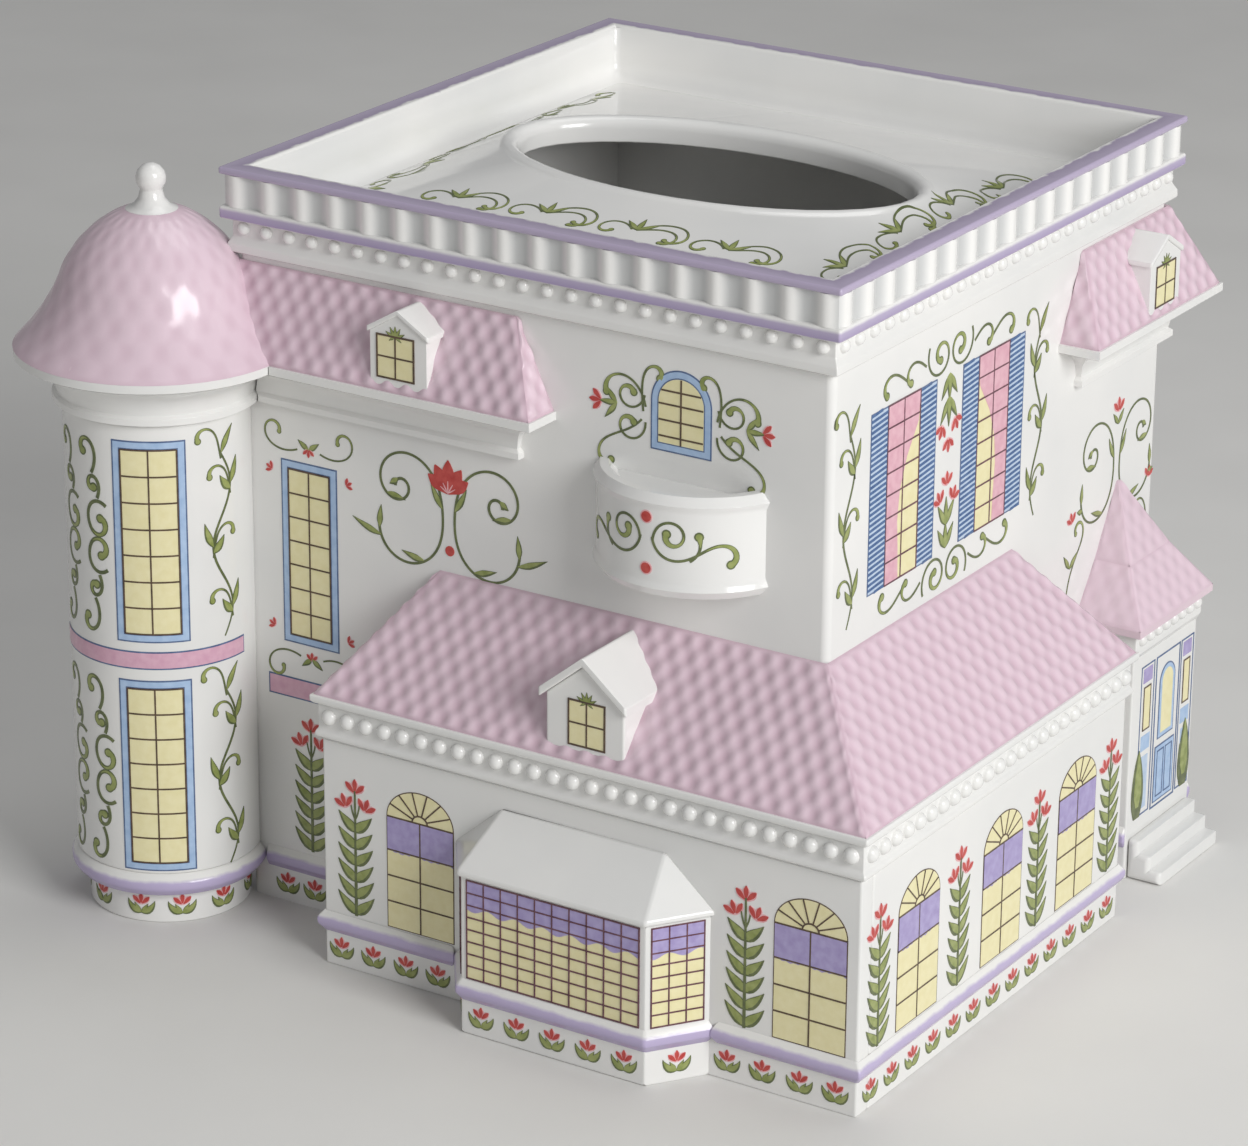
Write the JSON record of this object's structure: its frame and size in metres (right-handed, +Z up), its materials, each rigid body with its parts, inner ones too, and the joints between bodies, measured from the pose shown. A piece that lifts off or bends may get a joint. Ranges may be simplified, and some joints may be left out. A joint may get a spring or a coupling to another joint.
{
  "type": "tissue box cover",
  "caption": "Glazed porcelain cover for a cube tissue box in the form of a villa with a corner turret, open underneath, with an oval tissue slot in its flat roof.",
  "frame": {"origin": "middle of the tissue box hollow, level with the table", "axes": "+X right along the front wall, +Y to the back, +Z up"},
  "size_m": [0.1871, 0.17, 0.1462],
  "materials": {
    "white_porcelain": "glossy clear glaze",
    "lilac_porcelain": "glossy lilac under clear glaze",
    "pink_porcelain": "glossy pink under clear glaze"
  },
  "bodies": {
    "root": {"house_walls": "white_porcelain", "bead_cornice": "white_porcelain", "parapet_front": "white_porcelain", "parapet_right": "white_porcelain", "parapet_back": "white_porcelain", "parapet_left": "white_porcelain", "roof_deck": "white_porcelain", "turret_plinth": "white_porcelain", "turret_wall": "white_porcelain", "turret_eave": "white_porcelain", "turret_finial": "white_porcelain", "front_mansard_eave": "white_porcelain", "front_dormer": "white_porcelain", "front_dormer_roof": "white_porcelain", "right_mansard_eave": "white_porcelain", "back_mansard_eave": "white_porcelain", "right_dormer": "white_porcelain", "right_dormer_roof": "white_porcelain", "balcony": "white_porcelain", "wing_front_wall": "white_porcelain", "wing_right_wall": "white_porcelain", "wing_left_wall": "white_porcelain", "wing_back_wall": "white_porcelain", "wing_cornice": "white_porcelain", "wing_eave": "white_porcelain", "wing_dormer": "white_porcelain", "wing_dormer_roof": "white_porcelain", "bay_front_wall": "white_porcelain", "bay_left_wall": "white_porcelain", "bay_right_wall": "white_porcelain", "bay_roof": "white_porcelain", "porch_front_wall": "white_porcelain", "porch_near_wall": "white_porcelain", "porch_far_wall": "white_porcelain", "porch_cornice": "white_porcelain", "front_steps": "white_porcelain", "house_front_base_band": "lilac_porcelain", "house_side_base_band": "lilac_porcelain", "house_rear_base_band": "lilac_porcelain", "parapet_rail": "lilac_porcelain", "parapet_rim": "lilac_porcelain", "turret_base_band": "lilac_porcelain", "wing_left_base_band": "lilac_porcelain", "wing_right_base_band": "lilac_porcelain", "bay_base_band": "lilac_porcelain", "porch_near_base_band": "lilac_porcelain", "porch_far_base_band": "lilac_porcelain", "turret_dome": "pink_porcelain", "front_mansard": "pink_porcelain", "right_mansard": "pink_porcelain", "back_mansard": "pink_porcelain", "wing_roof": "pink_porcelain", "porch_roof": "pink_porcelain"}
  },
  "joints": []
}
